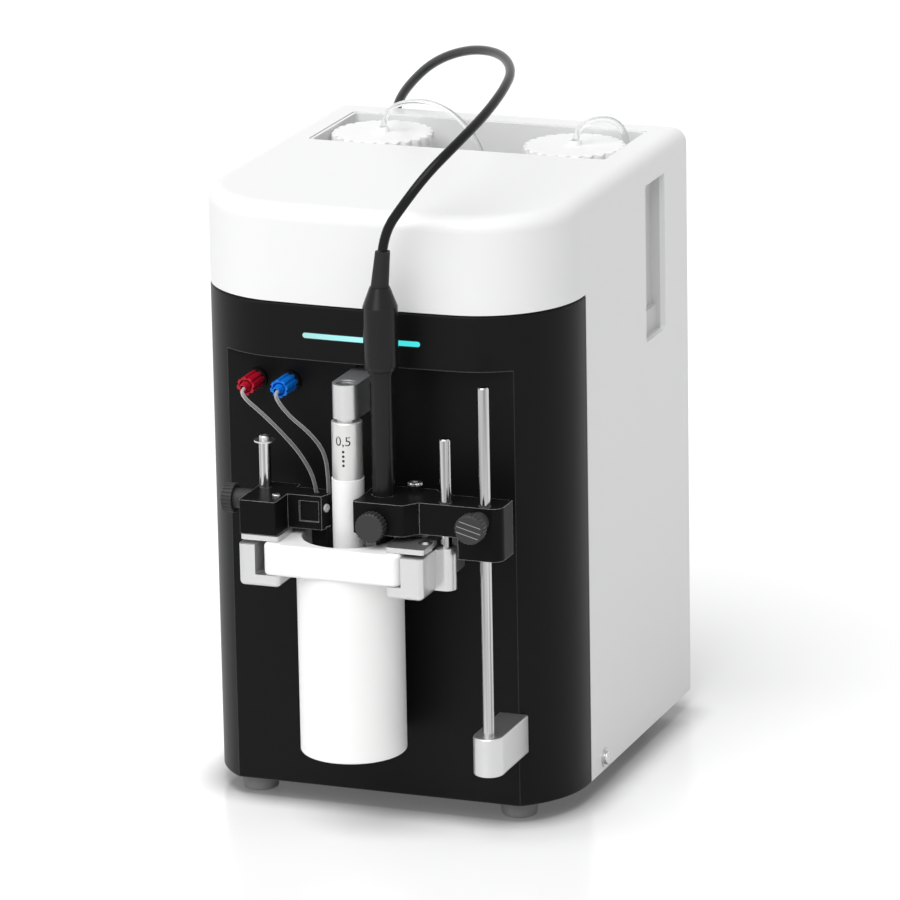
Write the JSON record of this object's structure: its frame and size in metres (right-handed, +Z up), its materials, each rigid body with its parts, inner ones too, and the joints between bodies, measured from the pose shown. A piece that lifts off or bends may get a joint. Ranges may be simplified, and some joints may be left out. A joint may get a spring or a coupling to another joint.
{
  "type": "zeta potential analyzer",
  "caption": "Bench zeta potential analyser: piston in a cylindrical cell on a fork, clamped probe with cable, titrant fittings and a bottle well in a bowed housing.",
  "frame": {"origin": "on the table under the middle of the whole, free cords left out", "axes": "+X to the right seen from the front, +Y from the front to the rear, +Z up"},
  "size_m": [0.2052, 0.2912, 0.3786],
  "materials": {
    "white_cover": "satin",
    "black_panel": "fine grain, matt",
    "black_plastic": "matt",
    "grey_panel": "powder coated",
    "zinc_steel": "zinc plated",
    "steel": "turned",
    "polished_steel": "polished",
    "aluminium": "satin anodised",
    "rubber": "matt",
    "light_guide": "glowing pale cyan",
    "ptfe": "waxy",
    "bottle_glass": "clear",
    "cap_white": "satin",
    "clear_tube": "translucent",
    "cable_jacket": "semi-gloss",
    "nut_red": "satin",
    "nut_blue": "satin",
    "board": "solder mask"
  },
  "bodies": {
    "housing": {"top_cover": "white_cover", "front_panel": "black_panel", "base_plate": "zinc_steel", "rear_panel": "grey_panel", "rubber_feet": "rubber", "housing_screws": "steel", "led_bar": "light_guide", "bottle_well": "white_cover", "side_grips": "white_cover", "bottle_left": "bottle_glass", "bottle_right": "bottle_glass", "bottle_tube_left": "clear_tube", "bottle_tube_right": "clear_tube", "mounting_plate": "aluminium", "drive_frame": "aluminium", "guide_rods": "polished_steel", "drive_motor": "steel", "dosing_pumps": "black_plastic", "control_board": "board", "power_supply": "zinc_steel", "power_inlet": "black_plastic", "switch_frame": "black_plastic", "usb_port": "steel", "probe_socket": "steel", "probe_plug": "black_plastic", "probe_cable": "cable_jacket", "fork_left": "aluminium", "fork_right": "aluminium", "pivot_screws": "steel", "tube_post": "polished_steel", "post_stop": "steel", "measuring_cell": "ptfe", "cell_electrodes": "steel", "carrier_rods": "polished_steel", "rod_foot": "aluminium", "bulkhead_unions": "black_plastic", "titrant_tube_red": "clear_tube", "titrant_tube_blue": "clear_tube"},
    "piston": {"piston_carriage": "aluminium", "piston_arm": "aluminium", "piston_screw": "steel", "piston_sleeve": "steel", "piston_rod": "ptfe"},
    "crank": {"crank_disc": "steel"},
    "carrier": {"probe_carrier": "black_plastic", "probe_shaft": "black_plastic", "probe_head": "black_plastic", "strain_relief": "rubber"},
    "jaw_knob": {"jaw_knob": "black_plastic"},
    "rod_knob": {"rod_knob": "black_plastic"},
    "holder": {"tube_holder": "black_plastic", "holder_screw": "steel"},
    "holder_knob": {"holder_knob": "black_plastic"},
    "clamp_left": {"clamp_plate_left": "aluminium"},
    "clamp_right": {"clamp_plate_right": "aluminium"},
    "nut_red": {"nut_red": "nut_red"},
    "nut_blue": {"nut_blue": "nut_blue"},
    "cap_left": {"bottle_cap_left": "cap_white"},
    "cap_right": {"bottle_cap_right": "cap_white"},
    "rocker": {"power_switch": "black_plastic"}
  },
  "joints": [
    {"name": "piston_slide", "type": "slide", "parent": "housing", "child": "piston", "axis": [0, 0, 1], "range_m": [-0.0025, 0.0025]},
    {"name": "crank_turn", "type": "hinge", "parent": "housing", "child": "crank", "pos_m": [0, -0.03485, 0.2285], "axis": [0, -1, 0], "range_deg": [-90, 90]},
    {"name": "carrier_slide", "type": "slide", "parent": "housing", "child": "carrier", "axis": [0, 0, 1], "range_m": [0, 0.049], "deforming": ["probe_cable"]},
    {"name": "jaw_knob_turn", "type": "hinge", "parent": "carrier", "child": "jaw_knob", "pos_m": [0.0198, -0.12485, 0.169], "axis": [0, -1, 0], "range_deg": [0, 360]},
    {"name": "rod_knob_turn", "type": "hinge", "parent": "carrier", "child": "rod_knob", "pos_m": [0.0739, -0.12485, 0.1733], "axis": [0, -1, 0], "range_deg": [0, 360]},
    {"name": "holder_slide", "type": "slide", "parent": "housing", "child": "holder", "axis": [0, 0, 1], "range_m": [0, 0.023], "deforming": ["titrant_tube_red", "titrant_tube_blue"]},
    {"name": "holder_knob_turn", "type": "hinge", "parent": "holder", "child": "holder_knob", "pos_m": [-0.06, -0.10485, 0.171], "axis": [-1, 0, 0], "range_deg": [0, 360]},
    {"name": "clamp_left_turn", "type": "hinge", "parent": "housing", "child": "clamp_left", "pos_m": [-0.04575, -0.11785, 0.1595], "axis": [0, 0, 1], "range_deg": [-90, 0]},
    {"name": "clamp_right_turn", "type": "hinge", "parent": "housing", "child": "clamp_right", "pos_m": [0.04575, -0.11785, 0.1595], "axis": [0, 0, 1], "range_deg": [0, 90]},
    {"name": "nut_red_turn", "type": "hinge", "parent": "housing", "child": "nut_red", "pos_m": [-0.0615, -0.08485, 0.2262], "axis": [0, -1, 0], "range_deg": [0, 360]},
    {"name": "nut_blue_turn", "type": "hinge", "parent": "housing", "child": "nut_blue", "pos_m": [-0.0432, -0.08485, 0.2262], "axis": [0, -1, 0], "range_deg": [0, 360]},
    {"name": "cap_left_turn", "type": "hinge", "parent": "housing", "child": "cap_left", "pos_m": [-0.054, 0.08865, 0.309], "axis": [0, 0, 1], "range_deg": [0, 360]},
    {"name": "cap_right_turn", "type": "hinge", "parent": "housing", "child": "cap_right", "pos_m": [0.054, 0.08865, 0.309], "axis": [0, 0, 1], "range_deg": [0, 360]},
    {"name": "rocker_tilt", "type": "hinge", "parent": "housing", "child": "rocker", "pos_m": [0.058, 0.13065, 0.075], "axis": [0, 0, 1], "range_deg": [0, 16]}
  ],
  "couplings": [
    {"joint": "crank_turn", "follows": "piston_slide", "rad_per_m": 628.32}
  ]
}
